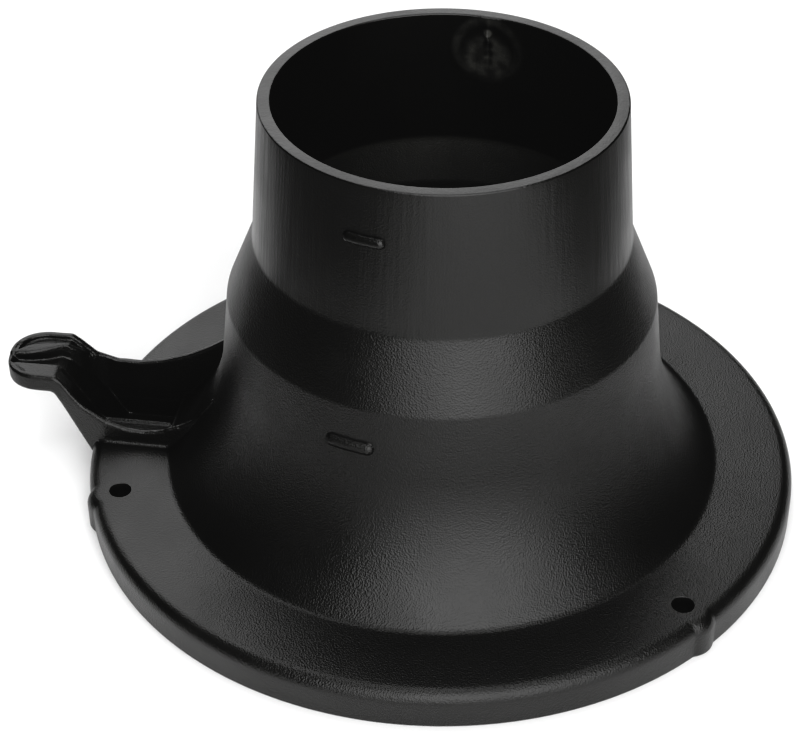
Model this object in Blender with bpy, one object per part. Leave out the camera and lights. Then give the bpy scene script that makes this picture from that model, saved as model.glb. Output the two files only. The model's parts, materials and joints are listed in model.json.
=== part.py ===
"""Upper hopper and grind chamber of a kitchen waste disposer.

Frame: metres, +Z up.  The origin is on the spindle axis, in the plane that the hopper's skirt
stands on.  The side trough points towards -X and a little towards +Y.

The black moulded hopper is a bell: a 3.5 inch neck, a conical band, a flared bell and a flange with
three screw holes.  Inside the bell a cast end plate carries the spindle, and on the spindle a
turntable with two swivelling lugs throws waste against a toothed shredder ring.
"""
import math

import bmesh
import bpy

MM = 0.001
GAP = 0.3                       # between pieces that touch

# ---- hopper, driving dimensions in millimetres -------------------------------------------------
NECK_R = 44.45                  # 3.5 inch neck, outside, at the rim
HEIGHT = 116.8
WALL = 3.3
CONE_TOP = (47.25, 79.1)        # radius and height where the neck meets the conical band
CONE_FOOT = (54.45, 61.5)       # where the conical band meets the bell
FLARE_TOP = (56.3, 44.0)        # where the straight taper of the bell starts to flare
BELL_FOOT = (72.8, 10.2)        # where the bell meets the flange
FLANGE_R = 93.67
FLANGE_Z = BELL_FOOT[1]         # top face of the flange
SHOULDER = 3.0                  # rounding between flange and skirt
HOLE_COUNT = 3
HOLE_CIRCLE_R = 86.0
HOLE_R = 2.75
HOLE_AZIMUTH = -166.2           # degrees; the other two follow at 120 degree steps
BOSS_R = 4.8
BOSS_FOOT = 0.4
LOBE_R = 6.0
LOBE_CIRCLE_R = 88.75
LOBE_INNER_R = 90.0             # each lobe is cut off flat this far from the axis
RIB_AZIMUTH = -113.1
RIBS = ((103.2, 10.2, 2.1), (51.3, 12.3, 2.7))      # height, length, width of the raised dashes
RIB_PROUD = 0.8

# ---- side trough and tongue --------------------------------------------------------------------
ARM_AZIMUTH = 172.5
ARM_WALL = 2.5
ARM_HALF = 12.2                 # half width of the trough, outside
TONGUE_FRONT = 9.5              # how far the tongue reaches to either side of the trough's middle
TONGUE_BACK = 10.2
TONGUE_TOP = 28.0
TONGUE_UNDER = 23.8
TONGUE_TIP = 117.6              # distance of the tongue's tip from the axis
TIP_CENTRE = TONGUE_TIP - 10.0  # where the tongue starts to round off
TIP_SQUARENESS = 2.2            # 2 would be a half ellipse
EAR_RECESS_DEPTH = 1.4          # the half-moon hollow in the tongue's back
POCKET_FLOOR = 2.5
POCKET_INNER = 73.4             # the pocket's end next to the bell
SHELF_Z = 8.2                   # shelf along the front of the trough, a little below the flange
SHELF_EDGE = 0.1                # the shelf ends this far behind the trough's middle
SHELF_CORE_OUTER = 88.5         # the hollow under the shelf ends here

# ---- end plate, held by three screws of its own ------------------------------------------------
PLATE_R = 69.0
PLATE_BOTTOM = 2.0
PLATE_TOP = 5.0
EAR_CIRCLE_R = 78.0
EAR_R = 5.0
POST_R = 4.5                    # posts under the flange that take the plate's screws
SCREW_SHANK_R = 1.75
SCREW_HEAD_R = 3.2
SCREW_HEAD_BOTTOM = 0.4
SCREW_TIP = 8.8
PILOT_TOP = 9.2
HUB_R = 16.0
HUB_TOP = 22.0
BUSH_SEAT_R = 9.3
BUSH_SEAT_Z = 9.0
SEAL_SEAT_R = 12.3
SEAL_SEAT_Z = 18.0
SLOT_COUNT = 3
SLOT_R = (24.0, 42.0)
SLOT_HALF_ANGLE = 38.0

# ---- spindle and what turns with it ------------------------------------------------------------
JOURNAL_R = 6.0
SPINDLE_R = 5.0
SHOULDER_Z = 7.3                # the journal starts here, above the coupling's seat
COLLAR_R = 10.0
COLLAR = (24.0, 26.0)           # bottom and top
SPINDLE_TOP = 38.6
COUPLING_R = 11.0
TURNTABLE_R = 46.8
TURNTABLE = (27.8, 30.0)        # bottom and top
DRAIN_COUNT = 10
DRAIN_R = 2.6
DRAIN_CIRCLE_R = 39.0
LUG_PIVOT_R = 27.0
LUG_BOTTOM = 31.4
LUG_TOP = 36.4
LUG_REACH = 17.0
RIVET_R = 2.5
RIVET_HEAD_R = 4.2

# ---- shredder ring -----------------------------------------------------------------------------
RING_R = 50.5
RING_BORE_R = 48.6
RING_TOP = 42.0
TOOTH_COUNT = 30
TOOTH_DEPTH = 1.0
TOOTH_HALF = 1.3                # half width of a tooth at its tip
TOOTH_SPAN = (14.0, 39.0)       # heights of the teeth's ends

ROUND = 72                      # sides of the large round pieces
SMALL_ROUND = 24

COLOURS = {                     # colour, roughness, metallic
    "black_plastic": ((0.022, 0.022, 0.022), 0.42, 0.0),
    "cast_aluminium": ((0.55, 0.56, 0.57), 0.5, 1.0),
    "stainless": ((0.60, 0.60, 0.60), 0.28, 1.0),
    "steel": ((0.42, 0.42, 0.43), 0.35, 1.0),
    "bronze": ((0.55, 0.36, 0.16), 0.4, 1.0),
    "black_rubber": ((0.03, 0.03, 0.03), 0.75, 0.0),
    "zinc_screw": ((0.62, 0.61, 0.56), 0.35, 1.0),
}


# ---- helpers -----------------------------------------------------------------------------------
def clear_scene():
    for obj in list(bpy.data.objects):
        bpy.data.objects.remove(obj, do_unlink=True)


def material(name):
    mat = bpy.data.materials.get(name)
    if mat:
        return mat
    colour, roughness, metallic = COLOURS[name]
    mat = bpy.data.materials.new(name)
    mat.use_nodes = True
    shader = mat.node_tree.nodes["Principled BSDF"]
    shader.inputs["Base Color"].default_value = (*colour, 1.0)
    shader.inputs["Roughness"].default_value = roughness
    shader.inputs["Metallic"].default_value = metallic
    return mat


def finish_mesh(bm, name, finish):
    """Turn a bmesh in millimetres into an object in metres, faces pointing out."""
    bmesh.ops.scale(bm, vec=(MM, MM, MM), verts=bm.verts)
    bmesh.ops.remove_doubles(bm, verts=bm.verts, dist=1e-7)
    bmesh.ops.recalc_face_normals(bm, faces=bm.faces)
    mesh = bpy.data.meshes.new(name)
    bm.to_mesh(mesh)
    bm.free()
    mesh.shade_smooth()
    mesh.set_sharp_from_angle(angle=math.radians(30))
    mesh.materials.append(material(finish))
    obj = bpy.data.objects.new(name, mesh)
    bpy.context.scene.collection.objects.link(obj)
    return obj


def turned(name, outline, finish, sides=ROUND, closed=True):
    """Spin a profile of (radius, height) about +Z.  A closed outline never touches the axis."""
    bm = bmesh.new()
    verts = [bm.verts.new((r, 0.0, z)) for r, z in outline]
    edges = [bm.edges.new(pair) for pair in zip(verts, verts[1:])]
    if closed:
        edges.append(bm.edges.new((verts[-1], verts[0])))
    bmesh.ops.spin(bm, geom=verts + edges, axis=(0, 0, 1), cent=(0, 0, 0), steps=sides,
                   angle=math.tau, use_merge=True)
    bmesh.ops.remove_doubles(bm, verts=bm.verts, dist=1e-5)
    return finish_mesh(bm, name, finish)


def solid_turned(name, outline, finish, sides=SMALL_ROUND):
    """Spin an open profile that starts and ends on the axis."""
    return turned(name, outline, finish, sides, closed=False)


def ring(name, inner, outer, bottom, top, finish, sides=SMALL_ROUND):
    return turned(name, [(inner, bottom), (outer, bottom), (outer, top), (inner, top)], finish, sides)


def prism(name, outline, bottom, top, finish):
    """Extrude a flat outline of (x, y) from one height to another."""
    bm = bmesh.new()
    face = bm.faces.new([bm.verts.new((x, y, bottom)) for x, y in outline])
    grown = bmesh.ops.extrude_face_region(bm, geom=[face])["geom"]
    moved = [v for v in grown if isinstance(v, bmesh.types.BMVert)]
    bmesh.ops.translate(bm, vec=(0, 0, top - bottom), verts=moved)
    return finish_mesh(bm, name, finish)


def loft(name, sections, finish):
    """Join equal closed sections one after another and close both ends."""
    bm = bmesh.new()
    rows = [[bm.verts.new(p) for p in section] for section in sections]
    count = len(rows[0])
    for a, b in zip(rows, rows[1:]):
        for i in range(count):
            j = (i + 1) % count
            bm.faces.new((a[i], a[j], b[j], b[i]))
    bm.faces.new(rows[0])
    bm.faces.new(rows[-1])
    bmesh.ops.triangulate(bm, faces=bm.faces)
    return finish_mesh(bm, name, finish)


def combine(target, tool, operation):
    """Add or cut a guide shape, which stays as a hidden wire object."""
    mod = target.modifiers.new(tool.name, "BOOLEAN")
    mod.operation = operation
    mod.object = tool
    tool.hide_render = True
    tool.display_type = "WIRE"


def cut(target, tool):
    combine(target, tool, "DIFFERENCE")


def add(target, tool):
    combine(target, tool, "UNION")


def polar(radius, azimuth):
    angle = math.radians(azimuth)
    return radius * math.cos(angle), radius * math.sin(angle)


def place(obj, radius, azimuth, turn=0.0):
    x, y = polar(radius, azimuth)
    obj.location = (x * MM, y * MM, 0)
    obj.rotation_euler = (0, 0, math.radians(turn))
    return obj


def arc(centre, radius, start, end, steps):
    """Points on an arc, angles in degrees."""
    angles = [math.radians(start + (end - start) * i / steps) for i in range(steps + 1)]
    return [(centre[0] + radius * math.cos(a), centre[1] + radius * math.sin(a)) for a in angles]


def curve_through(points, x):
    """Smooth height at x on a curve through (x, y) points, with Catmull-Rom tangents."""
    if x <= points[0][0]:
        return points[0][1]
    for i in range(len(points) - 1):
        x0, y0 = points[i]
        x1, y1 = points[i + 1]
        if x <= x1:
            before = points[max(i - 1, 0)]
            after = points[min(i + 2, len(points) - 1)]
            m0 = (y1 - before[1]) / (x1 - before[0]) * (x1 - x0)
            m1 = (after[1] - y0) / (after[0] - x0) * (x1 - x0)
            t = (x - x0) / (x1 - x0)
            return ((2 * t ** 3 - 3 * t ** 2 + 1) * y0 + (t ** 3 - 2 * t ** 2 + t) * m0
                    + (3 * t ** 2 - 2 * t ** 3) * y1 + (t ** 3 - t ** 2) * m1)
    return points[-1][1]


# ---- hopper shell ------------------------------------------------------------------------------
def bell_radius(z):
    """Outside radius of the bell: a straight taper, then an arc tangent to it."""
    if z >= FLARE_TOP[1]:
        share = (CONE_FOOT[1] - z) / (CONE_FOOT[1] - FLARE_TOP[1])
        return CONE_FOOT[0] + share * (FLARE_TOP[0] - CONE_FOOT[0])
    taper = math.atan((FLARE_TOP[0] - CONE_FOOT[0]) / (CONE_FOOT[1] - FLARE_TOP[1]))
    run = BELL_FOOT[0] - FLARE_TOP[0]
    drop = FLARE_TOP[1] - BELL_FOOT[1]
    final = 2 * math.atan(run / drop) - taper
    radius = drop / (math.sin(final) - math.sin(taper))
    angle = math.asin(math.sin(taper) + (FLARE_TOP[1] - z) / radius)
    return FLARE_TOP[0] + radius * (math.cos(taper) - math.cos(angle))


def bell_heights(top, steps):
    return [top + (BELL_FOOT[1] - top) * i / steps for i in range(1, steps)]


def outer_profile():
    points = [(NECK_R, HEIGHT), CONE_TOP, CONE_FOOT, FLARE_TOP]
    points += [(bell_radius(z), z) for z in bell_heights(FLARE_TOP[1], 6)]
    points += [BELL_FOOT]
    points += arc((FLANGE_R - SHOULDER, FLANGE_Z - SHOULDER), SHOULDER, 90, 0, 4)
    points += [(FLANGE_R, 0.0)]
    return points


def inner_profile():
    """The outside shape moved in by the wall thickness, from the base up to the rim."""
    under = FLANGE_Z - WALL
    points = [(FLANGE_R - WALL, 0.0), (FLANGE_R - WALL, under - 1.0), (FLANGE_R - WALL - 1.0, under),
              (BELL_FOOT[0] - 1.4, under)]
    for z in reversed(bell_heights(FLARE_TOP[1], 6)):
        slope = (bell_radius(z - 0.1) - bell_radius(z + 0.1)) / 0.2
        norm = math.hypot(1.0, slope)
        points.append((bell_radius(z) - WALL / norm, z - WALL * slope / norm))
    points += [(FLARE_TOP[0] - WALL, FLARE_TOP[1]), (CONE_FOOT[0] - WALL, CONE_FOOT[1] - 0.8),
               (CONE_TOP[0] - WALL, CONE_TOP[1] - 0.8), (NECK_R - WALL, HEIGHT)]
    return points


def arm_point(s, o, z):
    """A point given along the trough (out from the axis), across it (towards the back) and up."""
    angle = math.radians(ARM_AZIMUTH)
    return (s * math.cos(angle) + o * math.sin(angle), s * math.sin(angle) - o * math.cos(angle), z)


# heights and half widths along the trough, as (distance from the axis, value)
RIM_FRONT = [(58.0, 27.0), (60.4, 24.4), (69.2, 16.8), (78.6, 14.3), (89.1, 17.0), (97.5, 22.8),
             (102.5, TONGUE_TOP), (107.0, TONGUE_TOP)]
RIM_BACK = [(58.0, 30.8), (60.4, 29.2), (70.9, 23.4), (84.7, 19.8), (92.0, 20.0), (97.5, 23.0),
            (102.5, TONGUE_TOP), (107.0, TONGUE_TOP)]
SHELF = [(85.0, SHELF_Z), (92.6, SHELF_Z), (93.9, 9.8), (95.9, 15.1), (97.8, 19.0), (99.5, 22.3),
         (102.0, 26.6), (104.0, TONGUE_TOP - 0.3), (115.0, TONGUE_TOP - 0.3)]
CHANNEL_FLOOR = [(85.5, POCKET_FLOOR), (89.2, POCKET_FLOOR), (91.4, 5.5), (96.0, 13.5), (99.8, 21.0),
                 (101.6, 24.0), (104.0, 25.0), (110.0, 25.6), (114.3, 26.0), (115.8, 27.3)]
CHANNEL_FRONT = [(90.0, SHELF_EDGE), (92.6, SHELF_EDGE), (95.9, -1.2), (99.5, -2.5), (102.5, -3.4),
                 (114.5, -3.6), (117.4, -1.2)]
CHANNEL_BACK = [(89.0, ARM_HALF - ARM_WALL), (95.0, 9.2), (97.5, 7.8), (99.5, 5.3), (101.6, 4.1),
                (104.0, 4.0), (106.0, 2.7), (108.0, 1.7), (111.7, 0.5), (115.8, -0.3)]
FRONT_SIDE = [(89.1, ARM_HALF), (95.5, 10.8), (101.0, TONGUE_FRONT + 0.1), (104.0, TONGUE_FRONT)]
BACK_SIDE = [(89.1, ARM_HALF), (95.5, 11.4), (101.0, TONGUE_BACK + 0.3), (104.0, TONGUE_BACK)]
# outline of the half-moon hollow: its back edge, then its front edge
EAR_RECESS = [(100.5, 7.4), (102.7, 8.1), (105.7, 8.3), (109.9, 8.1), (112.4, 7.1), (114.4, 5.2),
              (115.3, 3.0), (114.9, 1.8), (112.7, 3.4), (108.9, 4.8), (104.8, 5.3), (101.4, 6.2)]
OVERHANG = ((93.3, 4.5), (103.6, TONGUE_UNDER))     # the end face that leans out to the tongue
# side view of the gap cut in the flange for the pocket; its outer end follows the channel's floor
WINDOW = [(POCKET_INNER, 1.0), (90.2, 1.0), (92.5, 5.5), (97.0, 13.0), (POCKET_INNER, 13.0)]


def reach(side, s):
    """How far the arm reaches sideways at s; the tongue rounds off towards its tip."""
    wide = curve_through(side, s)
    if s <= TIP_CENTRE:
        return wide
    share = (s - TIP_CENTRE) / (TONGUE_TIP - TIP_CENTRE)
    return wide * (1 - share ** TIP_SQUARENESS) ** (1 / TIP_SQUARENESS)


def underside(s):
    (s0, z0), (s1, z1) = OVERHANG
    if s < s0:
        return GAP
    return min(z0 + (s - s0) * (z1 - z0) / (s1 - s0), z1)


def arm_section(s):
    """One section across the trough: front wall, shelf, channel, back wall."""
    before = reach(FRONT_SIDE, s)
    behind = reach(BACK_SIDE, s)
    low = underside(s)
    floor = max(curve_through(CHANNEL_FLOOR, s), low + 0.6)
    front = curve_through(RIM_FRONT, s)
    back = curve_through(RIM_BACK, s)
    shelf = max(min(curve_through(SHELF, s), front - 0.3), floor + 0.3)
    wall = before - min(ARM_WALL, before / 4)
    channel_front = max(curve_through(CHANNEL_FRONT, s), 0.3 - wall)
    channel_back = min(curve_through(CHANNEL_BACK, s), behind - 0.4)
    return [(s, -before, low), (s, -before, front), (s, -wall, front), (s, -wall, shelf),
            (s, channel_front, shelf), (s, channel_front, floor), (s, channel_back, floor),
            (s, channel_back, back), (s, behind, back), (s, behind, low)]


ARM_STATIONS = (57.0, 61.0, 65.0, 70.0, 75.0, 80.0, 85.0, 88.0, 90.5, 93.0, 93.5, 95.5, 98.0, 100.0,
                102.5, 105.0, 107.6, 110.0, 112.0, 113.8, 115.2, 116.4, 117.4)


def make_arm():
    sections = [[arm_point(*p) for p in arm_section(s)] for s in ARM_STATIONS]
    arm = loft("arm_guide", sections, "black_plastic")
    mid = WALL / 2
    core_outline = [(0, -5), (BELL_FOOT[0] - mid, -5), (BELL_FOOT[0] - mid, BELL_FOOT[1] - mid)]
    core_outline += [(bell_radius(z) - mid, z) for z in reversed(bell_heights(FLARE_TOP[1], 6))]
    core_outline += [(FLARE_TOP[0] - mid, FLARE_TOP[1]), (0, FLARE_TOP[1])]
    core = solid_turned("arm_core_guide", core_outline, "black_plastic", ROUND)
    cut(arm, core)
    recess = [arm_point(s, o, 0)[:2] for s, o in EAR_RECESS]
    cut(arm, prism("ear_recess_guide", recess, TONGUE_TOP - EAR_RECESS_DEPTH, TONGUE_TOP + 2.0,
                   "black_plastic"))
    # the block under the shelf is cored out from below
    front = ARM_WALL - ARM_HALF
    back = SHELF_EDGE - ARM_WALL
    corners = [(POCKET_INNER, back), (SHELF_CORE_OUTER, back), (SHELF_CORE_OUTER, front),
               (POCKET_INNER, front)]
    cut(arm, prism("shelf_core_guide", [arm_point(s, o, 0)[:2] for s, o in corners], -1.0,
                   SHELF_Z - ARM_WALL, "black_plastic"))
    return arm


def make_hopper():
    shell = turned("hopper_shell", outer_profile() + inner_profile(), "black_plastic")
    middle_of_wall = ARM_HALF - ARM_WALL / 2
    window = [[arm_point(s, o, z) for s, z in WINDOW] for o in (-middle_of_wall, middle_of_wall)]
    cut(shell, loft("pocket_guide", window, "black_plastic"))
    add(shell, make_arm())
    for i in range(HOLE_COUNT):
        azimuth = HOLE_AZIMUTH + 360 * i / HOLE_COUNT
        boss = solid_turned(f"boss_guide_{i}", [(0, BOSS_FOOT), (BOSS_R, BOSS_FOOT),
                                                (BOSS_R, FLANGE_Z - 1.2), (0, FLANGE_Z - 1.2)],
                            "black_plastic", 20)
        add(shell, place(boss, HOLE_CIRCLE_R, azimuth))
        lobe_outline = [(0, 0.0), (LOBE_R, 0.0), (LOBE_R, FLANGE_Z - SHOULDER),
                        (LOBE_R - 0.9, FLANGE_Z - 0.9), (LOBE_R - SHOULDER, FLANGE_Z - 0.05),
                        (0, FLANGE_Z - 0.05)]
        lobe = solid_turned(f"lobe_guide_{i}", lobe_outline, "black_plastic", 20)
        # the lobe stops short of the hole and of the skirt's inside
        inner = LOBE_INNER_R - LOBE_CIRCLE_R
        trim = prism(f"lobe_trim_{i}", [(-8, -8), (inner, -8), (inner, 8), (-8, 8)], -1, 12,
                     "black_plastic")
        place(trim, LOBE_CIRCLE_R, azimuth, azimuth)
        cut(lobe, trim)
        add(shell, place(lobe, LOBE_CIRCLE_R, azimuth))
        hole = solid_turned(f"hole_guide_{i}", [(0, -2), (HOLE_R, -2), (HOLE_R, 14), (0, 14)],
                            "black_plastic", 20)
        cut(shell, place(hole, HOLE_CIRCLE_R, azimuth))
        ear = azimuth + 180 / HOLE_COUNT
        post = solid_turned(f"post_guide_{i}", [(0, PLATE_TOP + GAP), (POST_R, PLATE_TOP + GAP),
                                                (POST_R, FLANGE_Z - 1.4), (0, FLANGE_Z - 1.4)],
                            "black_plastic", 20)
        add(shell, place(post, EAR_CIRCLE_R, ear))
        pilot = solid_turned(f"pilot_guide_{i}", [(0, 0), (SCREW_SHANK_R + GAP, 0),
                                                  (SCREW_SHANK_R + GAP, PILOT_TOP), (0, PILOT_TOP)],
                             "black_plastic", 12)
        cut(shell, place(pilot, EAR_CIRCLE_R, ear))
    for i, (height, length, width) in enumerate(RIBS):
        radius = outer_radius_at(height)
        rib = prism(f"rib_guide_{i}", [(radius - 1.2, -length / 2), (radius + RIB_PROUD, -length / 2 + 0.8),
                                       (radius + RIB_PROUD, length / 2 - 0.8), (radius - 1.2, length / 2)],
                    height - width / 2, height + width / 2, "black_plastic")
        rib.rotation_euler = (0, 0, math.radians(RIB_AZIMUTH))
        add(shell, rib)
    return shell


def outer_radius_at(z):
    """Outside radius of the neck or the bell at a height."""
    if z > CONE_TOP[1]:
        share = (HEIGHT - z) / (HEIGHT - CONE_TOP[1])
        return NECK_R + share * (CONE_TOP[0] - NECK_R)
    return bell_radius(z)


# ---- fixed pieces inside the bell --------------------------------------------------------------
def make_end_plate():
    outline = [(JOURNAL_R + 7.0, PLATE_BOTTOM), (PLATE_R, PLATE_BOTTOM), (PLATE_R, PLATE_TOP),
               (HUB_R + 2.0, PLATE_TOP), (HUB_R, PLATE_TOP + 2.0), (HUB_R, HUB_TOP),
               (SEAL_SEAT_R, HUB_TOP), (SEAL_SEAT_R, SEAL_SEAT_Z), (BUSH_SEAT_R, SEAL_SEAT_Z),
               (BUSH_SEAT_R, BUSH_SEAT_Z), (SEAL_SEAT_R + 0.7, BUSH_SEAT_Z)]
    plate = turned("end_plate", outline, "cast_aluminium")
    for i in range(HOLE_COUNT):
        azimuth = HOLE_AZIMUTH + 360 * (i + 0.5) / HOLE_COUNT
        ear_outline = arc((EAR_CIRCLE_R, 0), EAR_R, -90, 90, 8) + [(60, EAR_R + 3), (60, -EAR_R - 3)]
        ear = prism(f"ear_guide_{i}", ear_outline, PLATE_BOTTOM + 0.02, PLATE_TOP - 0.02, "cast_aluminium")
        ear.rotation_euler = (0, 0, math.radians(azimuth))
        add(plate, ear)
        hole = solid_turned(f"ear_hole_{i}", [(0, 0), (SCREW_SHANK_R + GAP, 0),
                                              (SCREW_SHANK_R + GAP, 8), (0, 8)], "cast_aluminium", 12)
        cut(plate, place(hole, EAR_CIRCLE_R, azimuth))
    for i in range(SLOT_COUNT):
        start = HOLE_AZIMUTH + 360 * i / SLOT_COUNT - SLOT_HALF_ANGLE
        end = start + 2 * SLOT_HALF_ANGLE
        inner = arc((0, 0), SLOT_R[0], start, end, 8)
        outer = arc((0, 0), SLOT_R[1], end, start, 10)
        cut(plate, prism(f"slot_guide_{i}", inner + outer, 0, 8, "cast_aluminium"))
    return plate


def make_plate_screws():
    for i in range(HOLE_COUNT):
        azimuth = HOLE_AZIMUTH + 360 * (i + 0.5) / HOLE_COUNT
        under = PLATE_BOTTOM - GAP
        outline = [(0, SCREW_HEAD_BOTTOM), (SCREW_HEAD_R - 0.8, SCREW_HEAD_BOTTOM),
                   (SCREW_HEAD_R, SCREW_HEAD_BOTTOM + 0.6), (SCREW_HEAD_R, under),
                   (SCREW_SHANK_R, under), (SCREW_SHANK_R, SCREW_TIP - 0.8), (0.8, SCREW_TIP),
                   (0, SCREW_TIP)]
        screw = solid_turned(f"plate_screw_{i + 1}", outline, "zinc_screw", 16)
        for turn in (0, 90):
            slot = prism(f"screw_slot_{i}_{turn}", [(-1.6, -0.35), (1.6, -0.35), (1.6, 0.35), (-1.6, 0.35)],
                         -1.0, 1.0, "zinc_screw")
            slot.parent = screw
            slot.rotation_euler = (0, 0, math.radians(turn))
            cut(screw, slot)
        place(screw, EAR_CIRCLE_R, azimuth)


def make_chamber_seals():
    seal_r = 67.4
    bead = 2.0
    turned("chamber_o_ring", arc((seal_r, PLATE_TOP + GAP + bead), bead, 0, 320, 8), "black_rubber", 40)
    ring("ring_cushion", RING_R + GAP, RING_R + 2.3, RING_TOP - 6.0, RING_TOP - 1.0, "black_rubber", 60)


def make_shredder_ring():
    body = ring("shredder_ring", RING_BORE_R, RING_R, PLATE_TOP + GAP, RING_TOP, "stainless", 60)
    # vertical teeth on the inside, level with the turntable and the lugs
    half = math.degrees(TOOTH_HALF / RING_BORE_R)
    outline = []
    for i in range(TOOTH_COUNT):
        middle = 360 * i / TOOTH_COUNT
        outline.append(polar(RING_BORE_R + 0.5, middle - half - 1.0))
        outline.append(polar(RING_BORE_R - TOOTH_DEPTH, middle - half))
        outline.append(polar(RING_BORE_R - TOOTH_DEPTH, middle + half))
        outline.append(polar(RING_BORE_R + 0.5, middle + half + 1.0))
    outer = [polar(RING_BORE_R + 0.9, 360 * i / 60) for i in range(60)]
    teeth = prism("teeth_guide", outer, *TOOTH_SPAN, "stainless")
    cut(teeth, prism("teeth_bore_guide", outline, 10.0, 43.0, "stainless"))
    add(body, teeth)
    return body


def make_spindle_bearing():
    ring("spindle_bush", JOURNAL_R + GAP, 9.0, 9.3, 17.7, "bronze", 32)
    ring("thrust_washer", JOURNAL_R + GAP, 12.0, 7.5, 8.7, "bronze", 32)
    turned("spindle_seal", [(JOURNAL_R + GAP, 20.4), (7.4, 18.3), (12.0, 18.3), (12.0, 21.7),
                            (8.2, 21.7), (7.6, 20.0), (JOURNAL_R + GAP, 21.5)], "black_rubber", 32)


# ---- turning pieces ----------------------------------------------------------------------------
def make_spindle():
    outline = [(0, 0), (SPINDLE_R - 0.6, 0), (SPINDLE_R, 0.6), (SPINDLE_R, SHOULDER_Z),
               (JOURNAL_R, SHOULDER_Z), (JOURNAL_R, COLLAR[0]), (COLLAR_R, COLLAR[0]),
               (COLLAR_R, COLLAR[1]), (SPINDLE_R, COLLAR[1]), (SPINDLE_R, SPINDLE_TOP - 0.8),
               (SPINDLE_R - 0.8, SPINDLE_TOP), (0, SPINDLE_TOP)]
    solid_turned("spindle", outline, "steel", 32)


def make_drive_coupling():
    coupling = ring("drive_coupling", SPINDLE_R + GAP, COUPLING_R, 2.4, 5.2, "steel", 32)
    for i in range(3):
        dog_outline = arc((0, 0), COUPLING_R - 0.4, -18, 18, 4) + arc((0, 0), 6.4, 18, -18, 4)
        dog = prism(f"dog_guide_{i}", dog_outline, 0.6, 3.0, "steel")
        dog.rotation_euler = (0, 0, math.radians(120 * i))
        add(coupling, dog)
    clip_outline = arc((0, 0), 8.6, 20, 340, 20) + arc((0, 0), SPINDLE_R + GAP, 340, 20, 20)
    prism("retaining_ring", clip_outline, 5.8, SHOULDER_Z - 0.2, "steel")


def make_slinger():
    turned("seal_slinger", [(JOURNAL_R + GAP, 22.5), (16.8, 22.5), (16.8, 19.0), (18.2, 19.0),
                            (18.2, 23.0), (17.6, 23.6), (JOURNAL_R + GAP, 23.6)], "black_rubber", 32)


def make_undercutter():
    """A four-armed wiper that turns just under the turntable."""
    tips = []
    for i in range(4):
        start = 90 * i
        tips += [polar(9.5, start), polar(43.5, start + 40), polar(44.5, start + 48),
                 polar(12.0, start + 75)]
    blade = prism("undercutter", tips, COLLAR[1] + GAP, TURNTABLE[0] - GAP, "stainless")
    cut(blade, solid_turned("undercutter_bore", [(0, 20), (SPINDLE_R + GAP, 20), (SPINDLE_R + GAP, 34),
                                                 (0, 34)], "stainless"))


def make_turntable():
    boss_top = TURNTABLE[1] + 1.0
    outline = [(SPINDLE_R + GAP, TURNTABLE[0]), (TURNTABLE_R - 1.0, TURNTABLE[0]),
               (TURNTABLE_R, TURNTABLE[0] + 0.6), (TURNTABLE_R, TURNTABLE[1] + 0.6),
               (TURNTABLE_R - 0.6, TURNTABLE[1] + 1.2), (TURNTABLE_R - 2.2, TURNTABLE[1] + 1.2),
               (TURNTABLE_R - 3.4, TURNTABLE[1]), (13.0, TURNTABLE[1]), (12.0, boss_top),
               (SPINDLE_R + GAP, boss_top)]
    table = turned("turntable", outline, "stainless", 48)
    for i in range(DRAIN_COUNT):
        azimuth = 360 * (i + 0.5) / DRAIN_COUNT
        hole = solid_turned(f"drain_guide_{i}", [(0, 20), (DRAIN_R, 20), (DRAIN_R, 40), (0, 40)],
                            "stainless", 12)
        cut(table, place(hole, DRAIN_CIRCLE_R, azimuth))
    for azimuth in (0, 180):
        hole = solid_turned(f"rivet_hole_{azimuth}", [(0, 20), (RIVET_R + GAP, 20), (RIVET_R + GAP, 40),
                                                      (0, 40)], "stainless", 16)
        cut(table, place(hole, LUG_PIVOT_R, azimuth))


def make_lug(number, azimuth):
    """A heavy lug that swings round its rivet; its head stands up at the outer end."""
    outline = arc((0, 0), 6.5, 90, 270, 8) + [(9.0, -6.5), (LUG_REACH - 2, -5.0), (LUG_REACH, -2.5),
                                              (LUG_REACH, 2.5), (LUG_REACH - 2, 5.0), (9.0, 6.5)]
    lug = prism(f"swivel_lug_{number}", outline, LUG_BOTTOM, LUG_TOP, "stainless")
    head = prism(f"lug_head_{number}", [(9.5, -5.2), (LUG_REACH - 2.2, -4.6), (LUG_REACH - 0.6, -2.2),
                                        (LUG_REACH - 0.6, 2.2), (LUG_REACH - 2.2, 4.6), (9.5, 5.2)],
                 LUG_TOP - 1.0, LUG_TOP + 4.0, "stainless")
    head.parent = lug
    add(lug, head)
    bore = solid_turned(f"lug_bore_{number}", [(0, 28), (RIVET_R + GAP, 28), (RIVET_R + GAP, 44), (0, 44)],
                        "stainless", 20)
    bore.parent = lug
    cut(lug, bore)
    place(lug, LUG_PIVOT_R, azimuth, azimuth)
    washer = ring(f"lug_washer_{number}", RIVET_R + GAP, 6.0, TURNTABLE[1] + GAP, LUG_BOTTOM - GAP,
                  "steel", 20)
    place(washer, LUG_PIVOT_R, azimuth)
    head_bottom = LUG_TOP + GAP
    foot_top = TURNTABLE[0] - GAP
    outline = [(0, foot_top - 1.4), (RIVET_HEAD_R - 0.6, foot_top - 1.4), (RIVET_HEAD_R, foot_top - 0.8),
               (RIVET_HEAD_R, foot_top), (RIVET_R, foot_top), (RIVET_R, head_bottom),
               (RIVET_HEAD_R, head_bottom), (RIVET_HEAD_R, head_bottom + 0.8),
               (RIVET_HEAD_R - 1.2, head_bottom + 1.8), (0, head_bottom + 2.1)]
    place(solid_turned(f"lug_rivet_{number}", outline, "steel", 20), LUG_PIVOT_R, azimuth)


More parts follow.
